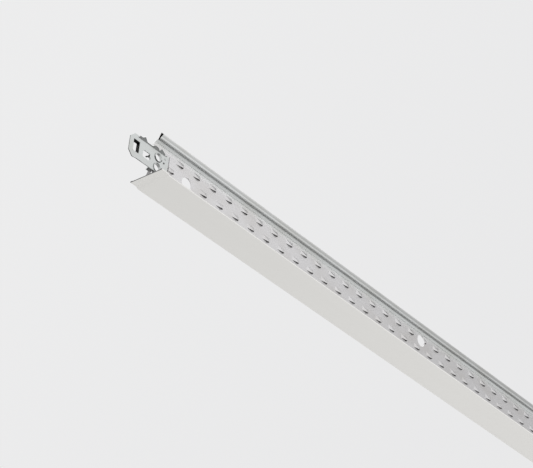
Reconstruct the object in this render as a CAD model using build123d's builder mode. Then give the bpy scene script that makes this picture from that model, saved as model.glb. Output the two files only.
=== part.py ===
from build123d import *
import math
import os

# Ceiling cross tee for a 1200 mm grid module, 24 mm face, 32 mm high. Millimetres.
# X runs along the tee, Z is up from the visible face, and the origin is at mid-length on that face.
# The two ends are alike: each is the other one turned by 180 degrees about Z.

# Grid and overall sizes
module = 1200.0
main_tee_offset = 6.0
face_width = 24.0
tee_height = 32.0

# Rolled strip of the body
strip = 0.3
bulb_width = 6.4
bulb_height = 4.2
bulb_corner = 0.7
neck_width = 2.25
neck_height = 1.3

# Painted cap strip, hemmed round both edges of the flange
cap_strip = 0.25
hem_width = 1.5

# Joggled ends of the flange and the trimmed ends of the web
joggle_rise = 1.0
joggle_flat = 4.5
joggle_ramp = 1.8
web_setback = 0.9
toe_height = 4.7
bulb_setback = 6.1
slant_start = 21.9
bulb_shear = 5.0
top_reach = 2.0
top_shear = 4.0

# Hanger holes through the web, and the slot at mid-length for the clips of two short tees
hanger_radius = 4.0
hanger_end = 31.0
hanger_z = 13.5
second_end = 259.6
second_z = 21.2
slot_width = 3.2
slot_height = 17.0
slot_z = 14.4

# Stitches: lances pressed out of the double web above two rows of slits, highest near their right-hand end.
# The far layer is pressed less and stays caught in the slit. The stitch beside the clip is a short one.
stitch_pitch = 14.0
stitch_first = 24.0
stitch_upper_z = 21.2
stitch_lower_z = 13.35
stitch_length = 6.0
stitch_height = 3.0
stitch_rise = 1.05
stitch_dimple = 0.55
stitch_slope = 0.9
stitch_clear = 0.5
short_stitch_length = 5.2

# Stamped end clip. Its sizes along the tee count from the end of the flange, outwards or in over the web.
clip_strip = 0.5
clip_reach = 16.1
clip_cover = 14.3
clip_top = 21.4
clip_low = 7.0
head_top = 21.8
head_low = 6.6
head_length = 6.6
head_chamfer_top = 3.2
head_chamfer_low = 3.0
window_out = 13.2
window_width = 4.6
window_low = 10.7
window_high = 18.1
window_corner = 0.7
flap_depth = 2.1
gap_out = 5.4
gap_width = 6.0
gap_low = 10.8
gap_high = 15.4
gap_corner = 1.2
tongue_low = 13.2
tongue_high = 15.2
tongue_root = 0.9
tongue_length = 3.1
tongue_tip = 0.7
tongue_rise = 0.4
collar_radius = 2.5
collar_wall = 0.35
collar_rim = 0.35
collar_flare = 0.6
collar_in = 6.5
collar_high_z = 16.9
collar_low_z = 10.1
collar_clearance = 0.05
lip_angle = 45.0
lip_drop = 0.6
lip_depth = 0.9
lip_end = 12.4
ear_step = 1.6
ear_tread = 0.4
ear_peak = 2.7
ear_length = 6.0
tab_in = 0.4
tab_length = 5.8
tab_peak = 2.1
spur_in = 7.1
spur_peak = 1.8
spur_end = 10.9
spur_toe = 0.35
foot_in = 0.4
foot_length = 3.6
foot_depth = 1.9
foot_angle = 28.0
foot_clearance = 0.15
foot_slot_top = 7.7
stake_radius = 0.6
stake_rise = 0.25
stake_taper = 30.0
stakes_in = [11.9, 11.1]
stakes_z = [18.8, 15.6]

length = module - 2 * main_tee_offset
half_length = length / 2
wing_half = face_width / 2 - cap_strip
wing_low = cap_strip
wing_high = cap_strip + strip
top_low = tee_height - strip
bulb_low = tee_height - bulb_height
neck_low = bulb_low - neck_height
slant = (bulb_setback - web_setback) / (tee_height - slant_start)
through = 2 * face_width


def joggled_band(low, high):
    """Side view of a strip from low to high above the face, raised by the joggle at both ends of the tee."""
    bend = half_length - joggle_flat - joggle_ramp
    flat = half_length - joggle_flat
    line = [
        (-half_length, joggle_rise),
        (-flat, joggle_rise),
        (-bend, 0),
        (bend, 0),
        (flat, joggle_rise),
        (half_length, joggle_rise),
    ]
    return [(x, z + low) for x, z in line] + [(x, z + high) for x, z in reversed(line)]


def stitch_row(first, z):
    """Centres of one row of whole stitches, as many as fit between the clips."""
    clip_end = half_length - clip_cover - stitch_clear
    row = [first - half_length + i * stitch_pitch for i in range(int(length // stitch_pitch))]
    return [(x, 0, z) for x in row if abs(x) + stitch_length / 2 < clip_end]


def lance(reach, outset, rise):
    """One stitch above its slit: a wedge on the face at outset from the web's middle, highest at the slit.
    Its lip rises slowly from the left-hand end and closes quickly at the right-hand one."""
    face = -outset
    top = face - rise
    with BuildPart() as solid:
        with BuildSketch(Plane.YZ):
            with BuildLine():
                Polyline((face, 0), (top, 0), (face, stitch_height), close=True)
            make_face()
        extrude(amount=reach / 2, both=True)
        with BuildSketch(Plane.XY):
            with BuildLine():
                Polyline((-reach / 2, face), (reach / 2 - stitch_slope, top), (-reach / 2, top), close=True)
            make_face()
            with BuildLine():
                Polyline((reach / 2, face), (reach / 2 - stitch_slope, top), (reach / 2, top), close=True)
            make_face()
        extrude(amount=stitch_height, mode=Mode.SUBTRACT)
    return solid.part


stitch = lance(stitch_length, strip, stitch_rise)
stitch_hollow = lance(stitch_length, -strip, stitch_dimple)
short_stitch = lance(short_stitch_length, strip, stitch_rise)
short_hollow = lance(short_stitch_length, -strip, stitch_dimple)

# Body: one strip folded into a hollow bulb, a double web and two wings, then joggled, trimmed and lanced
with BuildPart() as tee_body:
    with BuildSketch(Plane.YZ):
        with BuildLine():
            Polyline(
                (0, wing_low),
                (strip, wing_low),
                (strip, neck_low),
                (neck_width / 2, bulb_low),
                (bulb_width / 2, bulb_low),
                (bulb_width / 2, tee_height),
                (0, tee_height),
                close=True,
            )
        make_face()
        outer = vertices().group_by(Axis.X)[-1]
        fillet(outer, bulb_corner)
        mirror(about=Plane.YZ)
    extrude(amount=half_length, both=True)
    with BuildSketch(Plane.YZ):
        with BuildLine():
            Polyline(
                (0, neck_low + strip),
                (neck_width / 2 - strip, bulb_low + strip),
                (bulb_width / 2 - strip, bulb_low + strip),
                (bulb_width / 2 - strip, tee_height - strip),
                (0, tee_height - strip),
                close=True,
            )
        make_face()
        fillet(vertices().group_by(Axis.X)[-1], bulb_corner - strip)
        mirror(about=Plane.YZ)
    extrude(amount=half_length, both=True, mode=Mode.SUBTRACT)
    # The web and the bulb are cut back at a slant above the clip. Below it the web has a slot for the clip's
    # foot, over a toe that runs out to the end of the flange.
    foot_slot = foot_in + foot_length + foot_clearance
    with BuildSketch(Plane.XZ):
        for side in (-1, 1):
            with BuildLine():
                Polyline(
                    (side * (half_length + 1), 0),
                    (side * (half_length + 1), top_low),
                    (side * (half_length - bulb_setback + slant * strip), top_low),
                    (side * (half_length - web_setback), slant_start),
                    (side * (half_length - web_setback), foot_slot_top),
                    (side * (half_length - foot_slot), foot_slot_top),
                    (side * (half_length - foot_slot), toe_height),
                    (side * (half_length - web_setback), toe_height),
                    (side * half_length, joggle_rise),
                    (side * half_length, 0),
                    close=True,
                )
            make_face()
    extrude(amount=through, both=True, mode=Mode.SUBTRACT)
    # Behind its near wall the bulb is sheared obliquely, back towards the far side, and so is its top wall,
    # which runs out past the near wall
    shear_start = bulb_setback - slant * bulb_height
    near = bulb_width / 2
    for low, depth, cut_in, cut_side, shear in (
        (bulb_low, bulb_height - strip, shear_start, near - strip, bulb_shear),
        (top_low, strip, bulb_setback - top_reach, near, top_shear),
    ):
        with BuildSketch(Plane.XY.offset(low)):
            for side in (-1, 1):
                with BuildLine():
                    Polyline(
                        (side * half_length, side * cut_side),
                        (side * (half_length - cut_in), side * cut_side),
                        (side * (half_length - cut_in - shear), -side * near),
                        (side * half_length, -side * near),
                        close=True,
                    )
                make_face()
        extrude(amount=depth, mode=Mode.SUBTRACT)
    # Under the joggles the web is crushed up to the raised wings
    with BuildSketch(Plane.XZ):
        with BuildLine():
            Polyline(*joggled_band(-joggle_rise - strip, wing_low), close=True)
        make_face()
    extrude(amount=through, both=True, mode=Mode.SUBTRACT)
    with BuildSketch(Plane.XZ):
        with BuildLine():
            Polyline(*joggled_band(wing_low, wing_high), close=True)
        make_face()
    extrude(amount=wing_half, both=True)
    # Stitches: raised on the near face and dimpled on the far face
    upper_row = stitch_row(stitch_first, stitch_upper_z)
    lower_row = stitch_row(stitch_first - stitch_pitch / 2, stitch_lower_z)
    whole = upper_row + lower_row
    beside_clip = (clip_cover + stitch_clear + short_stitch_length / 2 - half_length, 0, stitch_lower_z)
    with Locations(*whole):
        add(stitch)
    with Locations(beside_clip):
        add(short_stitch)
    with Locations(*whole):
        add(stitch_hollow, mode=Mode.SUBTRACT)
    with Locations(beside_clip):
        add(short_hollow, mode=Mode.SUBTRACT)
    # Hanger holes, the holes for the clips' collars and the slot at mid-length, punched after the stitches
    with BuildSketch(Plane.XZ):
        with Locations((half_length - hanger_end, hanger_z), (hanger_end - half_length, hanger_z)):
            Circle(hanger_radius)
        with Locations((half_length - second_end, second_z), (second_end - half_length, second_z)):
            Circle(hanger_radius)
        for side in (-1, 1):
            with Locations(
                (side * (half_length - collar_in), collar_high_z),
                (side * (half_length - collar_in), collar_low_z),
            ):
                Circle(collar_radius + collar_wall + collar_clearance)
        with Locations((0, slot_z)):
            SlotOverall(slot_height, slot_width, rotation=90)
    extrude(amount=strip + stitch_rise, both=True, mode=Mode.SUBTRACT)
tee_body.part.label = "tee_body"

# Cap: the painted strip lies under the flange and is hemmed over its edges
with BuildPart() as face_cap:
    with BuildSketch(Plane.XZ):
        with BuildLine():
            Polyline(*joggled_band(0, wing_high + cap_strip), close=True)
        make_face()
    extrude(amount=face_width / 2, both=True)
    with BuildSketch(Plane.XZ):
        with BuildLine():
            Polyline(*joggled_band(wing_low, wing_high), close=True)
        make_face()
    extrude(amount=wing_half, both=True, mode=Mode.SUBTRACT)
    with BuildSketch(Plane.XZ):
        with BuildLine():
            Polyline(*joggled_band(wing_high, wing_high + 2 * cap_strip), close=True)
        make_face()
    extrude(amount=face_width / 2 - hem_width, both=True, mode=Mode.SUBTRACT)
face_cap.part.label = "face_cap"

# Clip at the left end, on the near face of the web. Its plate is cut in side view, then come its bent parts.
end = -half_length
inner = -strip
outer = -strip - clip_strip
head_left = end - clip_reach
head_right = head_left + head_length
window = (end - window_out + window_width / 2, (window_low + window_high) / 2)
gap = (end - gap_out + gap_width / 2, (gap_low + gap_high) / 2)
collars = [(end + collar_in, collar_high_z), (end + collar_in, collar_low_z)]
stakes = [(end + x, z) for x, z in zip(stakes_in, stakes_z)]
plate_face = Plane.XZ.offset(-inner)

with BuildPart() as end_clip_left:
    with BuildSketch(plate_face):
        with BuildLine():
            Polyline(
                (head_left, head_low + head_chamfer_low),
                (head_left, head_top - head_chamfer_top),
                (head_left + head_chamfer_top, head_top),
                (head_right - clip_strip, head_top),
                (head_right, clip_top),
                (end + clip_cover, clip_top),
                (end + clip_cover, clip_low),
                (head_right, clip_low),
                (head_right - head_chamfer_low, head_low),
                (head_left + head_chamfer_low, head_low),
                close=True,
            )
        make_face()
        with Locations(window):
            RectangleRounded(window_width, window_high - window_low, window_corner, mode=Mode.SUBTRACT)
        with Locations(gap):
            RectangleRounded(gap_width, gap_high - gap_low, gap_corner, mode=Mode.SUBTRACT)
        with Locations(*collars):
            Circle(collar_radius, mode=Mode.SUBTRACT)
    extrude(amount=clip_strip)
    # Flaps of the window, folded to the far side along its right and top edges and joined at their corner
    corner_share = (window_corner + clip_strip) / 2
    with BuildSketch(plate_face):
        with Locations((window[0] + (window_width + clip_strip) / 2, window[1] + corner_share)):
            Rectangle(clip_strip, window_high - window_low - window_corner + clip_strip)
        with Locations((window[0] + corner_share, window_high + clip_strip / 2)):
            Rectangle(window_width - window_corner + clip_strip, clip_strip)
    extrude(amount=-flap_depth)
    # Foot, folded from the lower edge to the far side and slightly down, through the slot in the web's end
    dip = math.radians(foot_angle)
    foot_plane = Plane(
        origin=(end + foot_in, inner, clip_low),
        x_dir=(1, 0, 0),
        z_dir=(0, math.sin(dip), math.cos(dip)),
    )
    with BuildSketch(foot_plane):
        with Locations((foot_length / 2, (foot_depth - clip_strip) / 2)):
            Rectangle(foot_length, foot_depth + clip_strip)
    extrude(amount=clip_strip)
    # Lip along the top edge, bent out to the near side, with a stepped ear, a rounded tab and a pointed spur
    with BuildSketch(plate_face):
        with Locations(((head_right + end + lip_end) / 2, clip_top)):
            Rectangle(end + lip_end - head_right, 2 * lip_drop)
    extrude(amount=clip_strip, mode=Mode.SUBTRACT)
    lean = math.radians(lip_angle)
    lip_plane = Plane(
        origin=(end, inner, clip_top - lip_drop),
        x_dir=(1, 0, 0),
        z_dir=(0, -math.cos(lean), -math.sin(lean)),
    )
    lip_start = head_right - end
    with BuildSketch(lip_plane):
        with BuildLine():
            Polyline(
                (tab_in, lip_depth),
                (lip_start + ear_length, lip_depth),
                (lip_start + ear_tread + ear_peak, ear_peak),
                (lip_start + ear_step, ear_step),
                (lip_start, ear_step),
                (lip_start, 0),
                (lip_end, 0),
                (lip_end, lip_depth),
                ((spur_end + lip_end) / 2, spur_toe),
                (spur_end, spur_toe),
                (spur_in, spur_peak),
                (spur_in, lip_depth),
                (tab_in + tab_length, lip_depth),
            )
            ThreePointArc(
                (tab_in + tab_length, lip_depth),
                (tab_in + tab_length / 2, tab_peak),
                (tab_in, lip_depth),
            )
        make_face()
    extrude(amount=clip_strip)
    # Tongue, lanced out of the gap, folded square to the far side at its right-hand edge, with a narrow tip
    tongue_face = gap[0] + gap_width / 2 - clip_strip
    root = inner + tongue_root
    tip = inner + tongue_length
    step = (tongue_high - tongue_low - tongue_tip) / 2
    with BuildSketch(Plane.YZ.offset(tongue_face)):
        with BuildLine():
            Polyline(
                (outer, tongue_low),
                (inner, tongue_low),
                (root, tongue_low + tongue_rise),
                (root, tongue_low + tongue_rise + step),
                (tip, tongue_high - tongue_tip + tongue_rise),
                (tip, tongue_high + tongue_rise),
                (root, tongue_high - step + tongue_rise),
                (root, tongue_high + tongue_rise),
                (inner, tongue_high),
                (outer, tongue_high),
                close=True,
            )
        make_face()
    extrude(amount=clip_strip)
    # Collars, drawn through the holes of the web, with a rim on the near face and a flare on the far face
    with BuildSketch(Plane.XZ.offset(-outer)):
        with Locations(*collars):
            Circle(collar_radius + collar_wall)
            Circle(collar_radius, mode=Mode.SUBTRACT)
    extrude(amount=collar_rim)
    with BuildSketch(plate_face):
        with Locations(*collars):
            Circle(collar_radius + collar_wall)
            Circle(collar_radius, mode=Mode.SUBTRACT)
    extrude(amount=-2 * strip)
    with BuildSketch(Plane.XZ.offset(-strip)):
        with Locations(*collars):
            Circle(collar_radius + collar_wall + collar_flare)
            Circle(collar_radius, mode=Mode.SUBTRACT)
    extrude(amount=-collar_rim)
    # Small stakes near the clip's end
    with BuildSketch(Plane.XZ.offset(-outer)):
        with Locations(*stakes):
            Circle(stake_radius)
    extrude(amount=stake_rise, taper=stake_taper)
end_clip_left.part.label = "end_clip_left"

# Clip at the right end: the same stamping, turned by 180 degrees about Z
with BuildPart() as end_clip_right:
    add(end_clip_left.part.rotate(Axis.Z, 180))
end_clip_right.part.label = "end_clip_right"

os.makedirs("parts", exist_ok=True)
for piece in (tee_body, face_cap, end_clip_left, end_clip_right):
    export_step(piece.part, f"parts/{piece.part.label}.step")
    print(piece.part.label, round(piece.part.volume, 1), piece.part.is_valid)
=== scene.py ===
import math

import bpy
import numpy as np
from mathutils import Matrix, Vector


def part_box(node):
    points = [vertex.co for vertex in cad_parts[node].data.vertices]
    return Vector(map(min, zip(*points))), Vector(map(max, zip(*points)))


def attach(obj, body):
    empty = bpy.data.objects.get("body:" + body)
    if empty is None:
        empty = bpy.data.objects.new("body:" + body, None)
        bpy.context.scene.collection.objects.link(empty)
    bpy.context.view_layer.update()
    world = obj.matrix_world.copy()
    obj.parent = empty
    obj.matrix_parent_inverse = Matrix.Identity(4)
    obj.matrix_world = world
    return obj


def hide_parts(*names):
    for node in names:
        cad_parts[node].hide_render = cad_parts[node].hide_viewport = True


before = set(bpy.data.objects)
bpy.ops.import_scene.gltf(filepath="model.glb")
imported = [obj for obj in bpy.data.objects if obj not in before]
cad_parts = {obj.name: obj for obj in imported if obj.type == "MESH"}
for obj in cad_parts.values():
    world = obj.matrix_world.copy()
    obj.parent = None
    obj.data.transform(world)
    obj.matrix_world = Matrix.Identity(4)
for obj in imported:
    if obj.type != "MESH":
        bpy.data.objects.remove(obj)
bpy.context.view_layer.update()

# Body of the tee: a strip of galvanised steel, roll-formed into a hollow bulb, a double web and two wings.
# Its zinc is satin, with faint streaks along the strip where the rolls ran and soft waves from the folding.
# It has painted shade on the torn edges of the stitches, inside and under the bulb, on the toe of the web
# and on the web beside the end of each clip, and a painted band of light and shade along the neck and bulb.
tee_end, tee_top = (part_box("tee_body")[1][axis] for axis in (0, 2))
clip_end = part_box("end_clip_right")[0][0]
zinc_bright = (0.72, 0.712, 0.72)
zinc_dull = (0.700, 0.692, 0.700)
zinc_metal = 0.84
zinc_roughness = 0.40
streak_stretch = (6.0, 500.0, 500.0)
streak_contrast = (0.3, 0.7)
streak_relief = {"Strength": 0.02, "Distance": 0.0001}
wave_stretch = (70.0, 70.0, 110.0)
wave_relief = {"Strength": 0.20, "Distance": 0.0005}
cloud_stretch = (48.0, 48.0, 90.0)
cloud_contrast = (0.42, 0.68)
cloud_tone = (0.93, 0.922, 0.905)
# Painted light and shade by height: lighter on the upper web and the neck, darker low on the bulb's walls.
painted_light_and_shade_band = [
    (0.0228, (1.0, 1.0, 1.0)),
    (0.0245, (1.13, 1.14, 1.13)),
    (0.0257, (1.27, 1.30, 1.28)),
    (0.0266, (1.10, 1.14, 1.12)),
    (0.0280, (0.96, 0.99, 0.975)),
    (0.0287, (1.01, 1.04, 1.02)),
    (0.0294, (0.73, 0.75, 0.735)),
    (0.0301, (0.73, 0.75, 0.735)),
    (0.0317, (1.0, 1.015, 1.0)),
]
body_marks = {
    # Painted shade on the down-facing torn edges of the stitches.
    "torn edges of the stitches": {
        "faces": "down",
        "tone": 0.16,
        "X": (0.0, clip_end - 0.004),
        "Y": (0.00034, 0.0017),
        "Z": (0.0090, 0.0236),
    },
    # Painted shade inside the hollow bulb.
    "inside of the bulb": {
        "faces": "all",
        "tone": 0.06,
        "Y": (0.0, 0.0028),
        "Z": (tee_top - 0.00385, tee_top - 0.0002),
    },
    # Painted shadow on the web beside the end of the clip.
    "painted shadow beside the end of the clip": {
        "faces": "clip side",
        "tone": 0.42,
        "X": (clip_end - 0.0013, clip_end - 0.0007),
        "Y": (0.0002, 0.0006),
        "Z": (0.0143, 0.0224),
    },
    # Painted shadow on the web beside the lower corner of the clip.
    "painted shadow beside the lower corner of the clip": {
        "faces": "clip side",
        "tone": 0.30,
        "X": (clip_end - 0.0012, clip_end - 0.0006),
        "Y": (0.0002, 0.0006),
        "Z": (0.0124, 0.0152),
    },
    "sheared ends of the wings": {
        "faces": "out",
        "tone": 0.25,
        "X": (tee_end - 0.0002, tee_end + 0.001),
        "Z": (0.0002, 0.0022),
    },
    # Painted shade on the toe of the web, under the clip's foot.
    "toe of the web": {
        "faces": "all",
        "tone": 0.42,
        "X": (tee_end - 0.005, tee_end + 0.0005),
        "Y": (0.0, 0.0006),
        "Z": (0.0008, 0.0077),
    },
    # Painted shade under the bulb.
    "underside of the bulb": {
        "faces": "down",
        "tone": 0.66,
        "Y": (0.0012, 0.0028),
        "Z": (tee_top - 0.0045, tee_top - 0.0039),
    },
}
steep = 0.6
# Painted shade in crevices, from the share of rays that meet a surface within the reach.
crevice_reach = 0.0008
crevice_rays = 8
crevice_contrast = (0.9, 0.2)
crevice_painted_shade = 0.35


def feed(tree, socket, value):
    """Links a socket from another one, or sets it to a value."""
    if isinstance(value, bpy.types.NodeSocket):
        tree.links.new(value, socket)
    else:
        socket.default_value = value


def put(tree, kind, setup=None, **inputs):
    """A shader node with its named sockets fed."""
    node = tree.nodes.new(kind)
    for name, value in (setup or {}).items():
        setattr(node, name, value)
    for name, value in inputs.items():
        feed(tree, node.inputs[name.replace("_", " ")], value)
    return node


def reckon(tree, operation, *values):
    """The result of one sum on numbers or sockets."""
    node = put(tree, "ShaderNodeMath", {"operation": operation})
    for socket, value in zip(node.inputs, values):
        feed(tree, socket, value)
    return node.outputs["Value"]


def slide(tree, value, limits, ends=(0.0, 1.0), form="LINEAR"):
    """Goes from one end to the other while the value goes between its limits, and stays there beyond them."""
    span = {"From_Min": limits[0], "From_Max": limits[1], "To_Min": ends[0], "To_Max": ends[1]}
    node = put(tree, "ShaderNodeMapRange", {"interpolation_type": form}, Value=value, **span)
    return node.outputs["Result"]


def blend(tree, colour, other, factor, form="MIX"):
    """The colour where the factor is 0, and the other colour, or the product of both, where it is 1."""
    setup = {"data_type": "RGBA", "blend_type": form}
    return put(tree, "ShaderNodeMix", setup, Factor=factor, A=colour, B=other).outputs["Result"]


def noise(tree, stretch, detail):
    """Noise from 0 to 1 on the piece's own coordinates, which are stretched along each axis."""
    place = put(tree, "ShaderNodeTexCoord").outputs["Object"]
    ground = put(tree, "ShaderNodeMapping", Vector=place, Scale=stretch).outputs["Vector"]
    return put(tree, "ShaderNodeTexNoise", Vector=ground, Scale=1.0, Detail=detail).outputs["Fac"]


def rgba(colour):
    """A colour with full opacity."""
    return (*colour, 1.0)


def grey(tone):
    """An even grey of one tone."""
    return rgba((tone, tone, tone))


def stops(tree, value, band, form):
    """Colour at a value, by a band of (value, colour) stops that stays at its end colours beyond them."""
    low, high = band[0][0], band[-1][0]
    node = put(tree, "ShaderNodeValToRGB", Fac=slide(tree, value, (low, high)))
    node.color_ramp.interpolation = form
    while len(node.color_ramp.elements) < len(band):
        node.color_ramp.elements.new(0.5)
    for stop, (at, colour) in zip(node.color_ramp.elements, band):
        stop.position = (at - low) / (high - low)
        stop.color = rgba(colour)
    return node.outputs["Color"]


def within(tree, limits, place):
    """1 where the size of each coordinate named in the limits is between its two values, and 0 elsewhere."""
    inside = 1.0
    for name, (low, high) in limits.items():
        size = reckon(tree, "ABSOLUTE", place[name])
        near = reckon(tree, "COMPARE", size, (low + high) / 2, (high - low) / 2)
        inside = reckon(tree, "MULTIPLY", inside, near)
    return inside


def blank_material(name):
    """A material with an empty node tree, and that tree."""
    material = bpy.data.materials.new(name)
    material.use_nodes = True
    material.node_tree.nodes.clear()
    return material, material.node_tree


def rolled_zinc(name, bright, dull, metal, roughness, marks, band=()):
    """Satin zinc: streaks along the strip in its colour and relief, over soft waves and faint warm clouds of
    one to two centimetres. The band gives the painted light and shade that it is multiplied by at each
    height.
    Each mark is a place with a tone of its own, most of them painted shade, on all faces or on those that
    look down, look out of the tee's ends or lie on the clip's side of the web. Crevices get painted shade,
    darker the more of the space within the reach is closed."""
    material, tree = blank_material(name)
    streaks = noise(tree, streak_stretch, detail=4.0)
    waves = noise(tree, wave_stretch, detail=1.0)
    clouds = noise(tree, cloud_stretch, detail=2.0)
    coords = put(tree, "ShaderNodeTexCoord").outputs
    place = put(tree, "ShaderNodeSeparateXYZ", Vector=coords["Object"]).outputs
    facing = put(tree, "ShaderNodeSeparateXYZ", Vector=coords["Normal"]).outputs
    faces = {
        "all": 1.0,
        "down": reckon(tree, "LESS_THAN", facing["Z"], -steep),
        "out": reckon(tree, "GREATER_THAN", reckon(tree, "ABSOLUTE", facing["X"]), steep),
        "clip side": reckon(tree, "GREATER_THAN", reckon(tree, "MULTIPLY", place["X"], place["Y"]), 0.0),
    }
    finish = blend(tree, rgba(dull), rgba(bright), slide(tree, streaks, streak_contrast))
    # Painted light and shade by height.
    if band:
        finish = blend(tree, finish, stops(tree, place["Z"], band, "EASE"), 1.0, "MULTIPLY")
    finish = blend(tree, finish, rgba(cloud_tone), slide(tree, clouds, cloud_contrast), "MULTIPLY")
    # Tones of the marks, most of them painted shade.
    for mark in marks.values():
        limits = {axis: mark[axis] for axis in "XYZ" if axis in mark}
        there = reckon(tree, "MULTIPLY", within(tree, limits, place), faces[mark["faces"]])
        finish = blend(tree, finish, grey(mark["tone"]), there, "MULTIPLY")
    # Painted shade in the crevices.
    rays = {"samples": crevice_rays}
    space = put(tree, "ShaderNodeAmbientOcclusion", rays, Distance=crevice_reach).outputs["AO"]
    finish = blend(tree, finish, grey(crevice_painted_shade), slide(tree, space, crevice_contrast), "MULTIPLY")
    low = put(tree, "ShaderNodeBump", Height=waves, **wave_relief).outputs["Normal"]
    fine = put(tree, "ShaderNodeBump", Height=streaks, Normal=low, **streak_relief).outputs["Normal"]
    look = {"Base_Color": finish, "Metallic": metal, "Roughness": roughness, "Normal": fine}
    shader = put(tree, "ShaderNodeBsdfPrincipled", **look)
    put(tree, "ShaderNodeOutputMaterial", Surface=shader.outputs["BSDF"])
    return material


def dress(node, material):
    """Gives a node of the frame its finish."""
    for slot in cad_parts[node].material_slots:
        slot.material = material


zinc = (zinc_bright, zinc_dull, zinc_metal, zinc_roughness)
dress("tee_body", rolled_zinc("rolled_zinc", *zinc, body_marks, painted_light_and_shade_band))

# Cap of the flange: a strip of steel with white coil paint, wrapped under the two wings.
# It is hemmed over both edges in a round fold and joggled at both ends. Its paint is matt with a fine grain.
cap_end, cap_half_width, cap_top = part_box("face_cap")[1]
cap_strip = 0.00025
cap_thick = 0.0008
cap_hem = 0.0015
cap_slack = 0.000005
joggle_rise = cap_top - cap_thick
joggle_flat = 0.0045
joggle_ramp = 0.0018
joggle_ease = 0.25
joggle_start = cap_end - joggle_flat - joggle_ramp
joggle_steps = 13
sharp_angle = 40
paint_colour = (0.80, 0.79, 0.765)
paint_line_tone = 0.985
paint_line_stretch = (3.0, 160.0, 160.0)
paint_line_contrast = (0.2, 0.8)
paint_grain_stretch = (1500.0, 1500.0, 1500.0)
paint_relief = {"Strength": 0.06, "Distance": 0.00005}
paint_roughness = 0.42
# Painted highlight along the folds of the hems.
fold_highlight_colour = (0.93, 0.92, 0.90)
fold_highlight_width = 0.0002
cut_edge_colour = (0.10, 0.10, 0.10)
cut_edge_depth = 0.00004
beyond_the_cap = 0.001


def hemmed_loop(half_width, thick, strip, hem, slack, turns=7):
    """Section of the cap as a closed loop of (y, z): the flat face, a half circle over each edge as high as
    the hem, the hem's lip, and the inside, which clears the wing by the slack."""
    radius = thick / 2
    turn = np.linspace(-np.pi / 2, np.pi / 2, turns)
    fold = np.stack([half_width - radius + radius * np.cos(turn), radius + radius * np.sin(turn)], axis=1)
    inside = np.array([
        (half_width - hem, thick),
        (half_width - hem, thick - strip + slack),
        (half_width - strip + slack, thick - strip + slack),
        (half_width - strip + slack, strip - slack),
    ])
    right = np.concatenate([fold, inside])
    return np.concatenate([right, right[::-1] * (-1, 1)])


def eased_ramp(t, ease):
    """Ramp from 0 to 1 while t goes from 0 to 1, averaged over ease to each side of t to round its bends."""
    def area(u):
        return np.where(u < 1, np.clip(u, 0, 1) ** 2 / 2, u - 0.5)
    return (area(t + ease) - area(t - ease)) / (2 * ease)


def swept(name, loop, stations, lift):
    """Closed shell of a loop of (y, z) carried along x through the stations and raised by each one's lift."""
    count, around = len(stations), len(loop)
    points = np.empty((count, around, 3))
    points[:, :, 0] = stations[:, None]
    points[:, :, 1] = loop[None, :, 0]
    points[:, :, 2] = loop[None, :, 1] + lift[:, None]
    here = np.arange(around)
    after = (here + 1) % around
    row = np.arange(count - 1)[:, None] * around
    sides = np.stack([row + here, row + after, row + around + after, row + around + here], axis=2)
    ends = np.stack([here[::-1], here + (count - 1) * around])
    mesh = bpy.data.meshes.new(name)
    mesh.from_pydata(points.reshape(-1, 3), [], sides.reshape(-1, 4).tolist() + ends.tolist())
    mesh.polygons.foreach_set("use_smooth", np.ones(len(mesh.polygons), dtype=bool))
    mesh.set_sharp_from_angle(angle=math.radians(sharp_angle))
    piece = bpy.data.objects.new(name, mesh)
    bpy.context.scene.collection.objects.link(piece)
    return piece


def coil_paint(name):
    """Matt coil paint with a fine grain, and faint lengthwise lines from the coating rolls. It has a painted
    highlight along the folds, and the sheared ends are bare steel."""
    material, tree = blank_material(name)
    coords = put(tree, "ShaderNodeTexCoord").outputs["Object"]
    place = put(tree, "ShaderNodeSeparateXYZ", Vector=coords).outputs
    # Painted highlight along the folds.
    on_fold_highlight = within(tree, {"Y": (cap_half_width - fold_highlight_width, cap_half_width + beyond_the_cap)}, place)
    on_end = within(tree, {"X": (cap_end - cut_edge_depth, cap_end + beyond_the_cap)}, place)
    lines = slide(tree, noise(tree, paint_line_stretch, detail=2.0), paint_line_contrast)
    line_colour = [paint_line_tone * part for part in paint_colour]
    lined = blend(tree, rgba(line_colour), rgba(paint_colour), lines)
    with_fold_highlight = blend(tree, lined, rgba(fold_highlight_colour), on_fold_highlight)
    finish = blend(tree, with_fold_highlight, rgba(cut_edge_colour), on_end)
    grain = noise(tree, paint_grain_stretch, detail=2.0)
    relief = put(tree, "ShaderNodeBump", Height=grain, **paint_relief).outputs["Normal"]
    look = {"Base_Color": finish, "Roughness": paint_roughness, "Normal": relief}
    shader = put(tree, "ShaderNodeBsdfPrincipled", **look)
    put(tree, "ShaderNodeOutputMaterial", Surface=shader.outputs["BSDF"])
    return material


cap_loop = hemmed_loop(cap_half_width, cap_thick, cap_strip, cap_hem, cap_slack)
cap_bends = joggle_start + joggle_ramp * np.linspace(-joggle_ease, 1 + joggle_ease, joggle_steps)
cap_right = np.concatenate([cap_bends, [cap_end]])
cap_stations = np.concatenate([-cap_right[::-1], cap_right])
cap_lift = joggle_rise * eased_ramp((np.abs(cap_stations) - joggle_start) / joggle_ramp, joggle_ease)
cap = swept("painted_cap", cap_loop, cap_stations, cap_lift)
cap.data.materials.append(coil_paint("white_coil_paint"))
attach(cap, "root")
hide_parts("face_cap")
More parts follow.
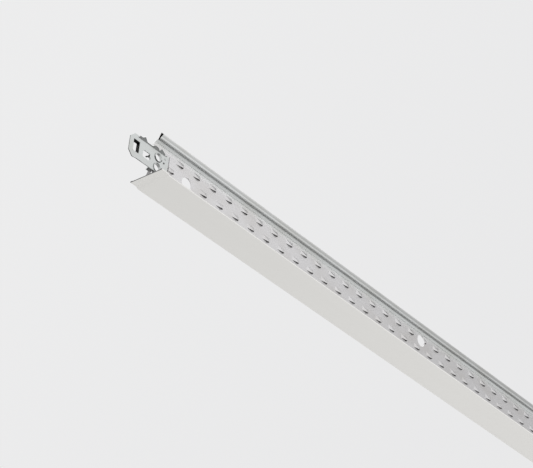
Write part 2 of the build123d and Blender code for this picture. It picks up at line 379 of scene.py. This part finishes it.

# End clips: stamped from plain spring steel, with the head, window, tongue and collared holes in one piece.
# Each is clinched to the web by its two collars, and has a smoother and slightly cooler sheen than the zinc.
# Its flaps, its tongue and the root of the tongue carry painted shade, as do the undersides of its lips
# and foot, and the edges that the shears left are darker than its flat.
clip_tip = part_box("end_clip_right")[1][0]
clip_bright = (0.595, 0.615, 0.61)
clip_dull = (0.575, 0.59, 0.585)
clip_metal = 1.0
clip_roughness = 0.34
clip_marks = {
    # Painted shade on the flaps of the window.
    "flaps of the window": {
        "faces": "all",
        "tone": 0.04,
        "X": (clip_tip - 0.00755, clip_tip - 0.00285),
        "Z": (0.01065, 0.01815),
    },
    # Painted shade on the tongue.
    "tongue": {
        "faces": "all",
        "tone": 0.12,
        "Y": (0.0009, 0.0045),
        "Z": (0.0125, 0.0165),
    },
    # Painted shade at the root of the tongue.
    "root of the tongue": {
        "faces": "out",
        "tone": 0.10,
        "X": (tee_end - 0.0009, tee_end + 0.0002),
        "Z": (0.0122, 0.0157),
    },
    # Painted shade under the upper lips.
    "upper lips": {
        "faces": "down",
        "tone": 0.55,
        "Z": (0.0200, 0.0260),
    },
    # Painted shade under the lower edge and the foot.
    "lower edge and foot": {
        "faces": "down",
        "tone": 0.60,
        "Z": (0.0040, 0.0125),
    },
    "sheared ends": {
        "faces": "out",
        "tone": 0.35,
        "X": (tee_end + 0.0005, clip_tip + 0.001),
    },
}
clip_sheen = (clip_metal, clip_roughness)

clip_steel = rolled_zinc("clip_steel", clip_bright, clip_dull, *clip_sheen, clip_marks)
for clip in ("end_clip_left", "end_clip_right"):
    dress(clip, clip_steel)

# Spurs of the clips: the low blade at the inner end of each upper lip, part of the same stamping.
# Each is bent out at 45 degrees with the lip, stands highest at its outer end and tapers to a blunt tip.
# Its colour is the clip's darkened by painted shade, because it faces down, with more painted shade
# underneath.
spur_outline = np.array([
    (0.0104, 0.0),
    (0.0113, 0.00035),
    (0.0109, 0.0010),
    (0.0075, 0.00235),
    (0.0070, 0.0023),
    (0.0065, 0.0002),
])
spur_root = (-0.0003, 0.0208)
spur_back = -0.00003
spur_thickness = 0.00056
spur_lean = math.radians(45)
# Painted shade on the spur's faces and on its underside.
spur_painted_shade = 0.7
spur_marks = {"underside": {"faces": "down", "tone": 0.8, "Z": (0.0200, 0.0260)}}


def lip_blades(name, outline, root, back, thickness, lean, half_length):
    """Closed plates on an outline of (distance in from the tee's end, distance up the lip) at the left end,
    and the same turned by 180 degrees about Z at the right end. A point goes up the lip from the root by
    (-cos lean, sin lean) in (y, z), and through the plate by (-sin lean, -cos lean)."""
    around = len(outline)
    through = np.array([back, back + thickness])[:, None]
    plate = np.empty((2, around, 3))
    plate[:, :, 0] = outline[:, 0] - half_length
    plate[:, :, 1] = root[0] - outline[:, 1] * np.cos(lean) - through * np.sin(lean)
    plate[:, :, 2] = root[1] + outline[:, 1] * np.sin(lean) - through * np.cos(lean)
    both = np.stack([plate, plate * (-1, -1, 1)]).reshape(-1, 3)
    here = np.arange(around)
    after = (here + 1) % around
    starts = 2 * around * np.arange(2)[:, None, None]
    sides = starts + np.stack([here, after, around + after, around + here], axis=1)
    lids = starts + np.stack([here[::-1], around + here])
    mesh = bpy.data.meshes.new(name)
    mesh.from_pydata(both, [], sides.reshape(-1, 4).tolist() + lids.reshape(-1, around).tolist())
    piece = bpy.data.objects.new(name, mesh)
    bpy.context.scene.collection.objects.link(piece)
    return piece


spurs = lip_blades("clip_spurs", spur_outline, spur_root, spur_back, spur_thickness, spur_lean, tee_end)
# Painted shade: the clip's colours darkened.
spur_bright = [spur_painted_shade * part for part in clip_bright]
spur_dull = [spur_painted_shade * part for part in clip_dull]
spurs.data.materials.append(rolled_zinc("spur_steel_in_painted_shade", spur_bright, spur_dull, *clip_sheen, spur_marks))
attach(spurs, "root")

# Floor: a plain pale sheet that the tee stands on. It shows its colour and the tee's shadow from above,
# and lets sight and light through from below, because the photograph looks up at the tee.
floor_reach = 6.0
floor_drop = 0.0003
floor_tone = 0.80


def one_sided_paper(name, tone):
    """Plain paper for sight from the front, and clear for everything else."""
    material, tree = blank_material(name)
    paper = put(tree, "ShaderNodeBsdfDiffuse", Color=grey(tone))
    clear = put(tree, "ShaderNodeBsdfTransparent")
    sight = put(tree, "ShaderNodeLightPath").outputs["Is Camera Ray"]
    back = put(tree, "ShaderNodeNewGeometry").outputs["Backfacing"]
    mix = put(tree, "ShaderNodeMixShader", Fac=reckon(tree, "SUBTRACT", sight, back))
    tree.links.new(clear.outputs["BSDF"], mix.inputs[1])
    tree.links.new(paper.outputs["BSDF"], mix.inputs[2])
    put(tree, "ShaderNodeOutputMaterial", Surface=mix.outputs["Shader"])
    return material


corners = np.array([(-1.0, -1.0), (1.0, -1.0), (1.0, 1.0), (-1.0, 1.0)])
floor_mesh = bpy.data.meshes.new("studio_floor")
floor_mesh.from_pydata(np.column_stack([floor_reach * corners, np.full(4, -floor_drop)]), [], [(0, 1, 2, 3)])
floor_mesh.materials.append(one_sided_paper("pale_floor", floor_tone))
floor = bpy.data.objects.new("studio_floor", floor_mesh)
bpy.context.scene.collection.objects.link(floor)

# Camera: below and in front of the left end, at the photograph's angle.
# It is rolled a little, as the photograph is.
camera_place = Vector((-1.0919, -0.5474, -0.4941))
camera_target = Vector((-0.4925, 0.0, 0.0184))
camera_roll = math.radians(5.39)
focal_length = 109.83
film_width = 36.0
nearest_sight = 0.05

lens = bpy.data.cameras.new("camera")
lens.lens = focal_length
lens.sensor_width = film_width
lens.clip_start = nearest_sight
camera = bpy.data.objects.new("camera", lens)
bpy.context.scene.collection.objects.link(camera)
look = (camera_target - camera_place).to_track_quat("-Z", "Y").to_matrix()
rolled_look = look @ Matrix.Rotation(camera_roll, 3, "Z")
camera.matrix_world = Matrix.Translation(camera_place) @ rolled_look.to_4x4()
bpy.context.scene.camera = camera

# Studio: pale walls that the metal shows, a dark flag low behind the tee and a pale card low on its left.
# Each is an area of directions from the tee, with a soft edge between two limits along an axis.
# The room lights the tee evenly, with soft boxes high in front, low in front and overhead.
backdrop_left = (0.842, 0.842, 0.846)
backdrop_right = (0.795, 0.795, 0.802)
backdrop_turn = (0.5, 0.9)
room_light = 0.80
wall_tones = [
    (-0.85, 0.26),
    (-0.60, 0.34),
    (-0.42, 0.55),
    (-0.22, 0.80),
    (0.10, 0.95),
    (0.45, 0.80),
    (0.65, 1.0),
]
wall_right = (0.52, 0.72)
wall_right_tones = (1.06, 0.68)
wall_right_heights = (-0.05, 0.30)
flag_back = (0.15, 0.45)
flag_top = (-0.42, -0.56)
flag_left_slope = (-0.70, -0.35)
flag_right = (0.85, 0.52)
flag_tone = 0.012
card_right = (-0.15, -0.45)
card_top = (-0.15, -0.45)
card_tone = 0.95
softboxes = {
    "front_softbox": {
        "place": (-0.154, -0.45, 0.435),
        "target": (-0.574, 0.0, 0.015),
        "size": 0.35,
        "watts": 0.10,
    },
    "low_softbox": {
        "place": (-0.20, -0.20, -0.45),
        "target": (-0.35, 0.0, 0.0),
        "size": 0.35,
        "watts": 0.30,
    },
    "overhead_softbox": {
        "place": (0.0, 0.6, 2.0),
        "target": (0.0, 0.0, 0.0),
        "size": 1.2,
        "watts": 8.0,
    },
}


def soft_area(tree, edges):
    """Product of soft steps, each from 0 to 1 while its value goes from the first to the second limit."""
    area = 1.0
    for value, limits in edges:
        area = reckon(tree, "MULTIPLY", area, slide(tree, value, limits, form="SMOOTHSTEP"))
    return area


world = bpy.data.worlds.new("studio")
world.use_nodes = True
bpy.context.scene.world = world
tree = world.node_tree
tree.nodes.clear()
sight = put(tree, "ShaderNodeTexCoord").outputs["Generated"]
axis = put(tree, "ShaderNodeSeparateXYZ", Vector=sight).outputs
slope = reckon(tree, "ADD", axis["X"], axis["Z"])
backdrop = blend(tree, rgba(backdrop_left), rgba(backdrop_right), slide(tree, axis["X"], backdrop_turn))
flag_edges = [
    (axis["Y"], flag_back),
    (axis["Z"], flag_top),
    (slope, flag_left_slope),
    (axis["X"], flag_right),
]
card_edges = [(axis["X"], card_right), (axis["Z"], card_top)]
walls = stops(tree, axis["Z"], [(height, (tone, tone, tone)) for height, tone in wall_tones], "LINEAR")
right_tone = slide(tree, axis["X"], wall_right, wall_right_tones)
walls = blend(tree, walls, right_tone, soft_area(tree, [(axis["Z"], wall_right_heights)]), "MULTIPLY")
walls = blend(tree, walls, grey(card_tone), soft_area(tree, card_edges))
walls = blend(tree, walls, grey(flag_tone), soft_area(tree, flag_edges))
path = put(tree, "ShaderNodeLightPath").outputs
room = put(tree, "ShaderNodeBackground", Color=grey(1.0), Strength=room_light)
metal_sees = put(tree, "ShaderNodeBackground", Color=walls, Strength=1.0)
camera_sees = put(tree, "ShaderNodeBackground", Color=backdrop, Strength=1.0)
clear_rays = reckon(tree, "MAXIMUM", path["Is Glossy Ray"], path["Is Transmission Ray"])
lit = put(tree, "ShaderNodeMixShader", Fac=clear_rays)
tree.links.new(room.outputs["Background"], lit.inputs[1])
tree.links.new(metal_sees.outputs["Background"], lit.inputs[2])
final = put(tree, "ShaderNodeMixShader", Fac=path["Is Camera Ray"])
tree.links.new(lit.outputs["Shader"], final.inputs[1])
tree.links.new(camera_sees.outputs["Background"], final.inputs[2])
put(tree, "ShaderNodeOutputWorld", Surface=final.outputs["Shader"])

for name, box in softboxes.items():
    lamp = bpy.data.lights.new(name, "AREA")
    lamp.size = box["size"]
    lamp.energy = box["watts"]
    softbox = bpy.data.objects.new(name, lamp)
    bpy.context.scene.collection.objects.link(softbox)
    sight = Vector(box["target"]) - Vector(box["place"])
    turn = sight.to_track_quat("-Z", "Y").to_matrix().to_4x4()
    softbox.matrix_world = Matrix.Translation(box["place"]) @ turn

bpy.context.scene.view_settings.view_transform = "Standard"
